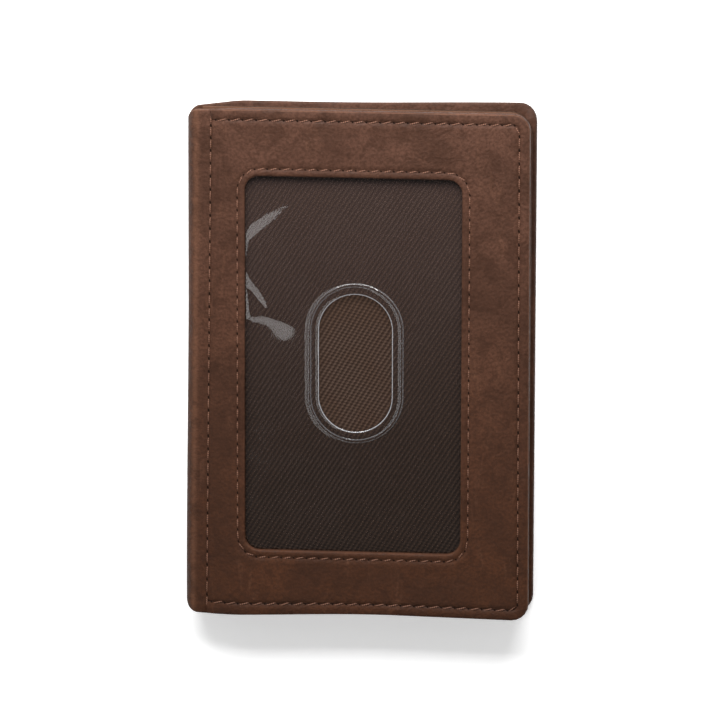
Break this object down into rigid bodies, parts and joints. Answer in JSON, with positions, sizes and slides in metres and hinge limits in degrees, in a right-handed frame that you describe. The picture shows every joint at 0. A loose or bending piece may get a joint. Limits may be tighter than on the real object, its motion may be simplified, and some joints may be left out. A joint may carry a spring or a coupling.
{
  "type": "wallet",
  "caption": "Slim bifold leather wallet with a clear ID window and thumb slot in its front cover, card slots inside and a note pocket at the back.",
  "frame": {"origin": "centre of the closed wallet's footprint, on the surface that its back cover lies on", "axes": "+X from the fold to the free edge, +Y to the pocket mouths, +Z out of the front cover"},
  "size_m": [0.0724, 0.1083, 0.0101],
  "materials": {
    "leather": "smooth, soft sheen",
    "inner_leather": "smooth, thin skived leather",
    "twill": "matt twill weave",
    "tongue_cloth": "plain lining cloth",
    "clear_film": "clear, glossy, slightly wavy",
    "thread": "waxed polyester thread",
    "board": "thin stiffening board"
  },
  "bodies": {
    "back_leaf": {"back_board": "board", "back_bobbin_thread": "thread", "back_cover": "leather", "back_edge_thread": "thread", "back_fold_lining": "inner_leather", "back_fold_thread": "thread", "back_lining": "twill", "back_panel": "inner_leather", "back_slot_facing_1": "inner_leather", "back_slot_facing_2": "inner_leather", "back_slot_facing_3": "inner_leather", "back_slot_tongue_1": "tongue_cloth", "back_slot_tongue_2": "tongue_cloth", "back_stiffener": "board"},
    "spine": {"spine_leather": "leather", "spine_lining": "inner_leather"},
    "front_leaf": {"front_board": "board", "front_bobbin_thread": "thread", "front_cover": "leather", "front_edge_thread": "thread", "front_fold_lining": "inner_leather", "front_fold_thread": "thread", "front_lining": "twill", "front_panel": "inner_leather", "front_slot_facing_1": "inner_leather", "front_slot_facing_2": "inner_leather", "front_slot_facing_3": "inner_leather", "front_slot_tongue_1": "tongue_cloth", "front_slot_tongue_2": "tongue_cloth", "window_film": "clear_film", "window_thread": "thread"}
  },
  "joints": [
    {"name": "back_fold", "type": "hinge", "parent": "back_leaf", "child": "spine", "pos_m": [-0.03559, 0, 0.00323], "axis": [0, -1, 0], "range_deg": [0, 90]},
    {"name": "front_fold", "type": "hinge", "parent": "spine", "child": "front_leaf", "pos_m": [-0.03559, 0, 0.00687], "axis": [0, -1, 0], "range_deg": [0, 90]}
  ],
  "couplings": [
    {"joint": "front_fold", "follows": "back_fold", "ratio": 1}
  ]
}
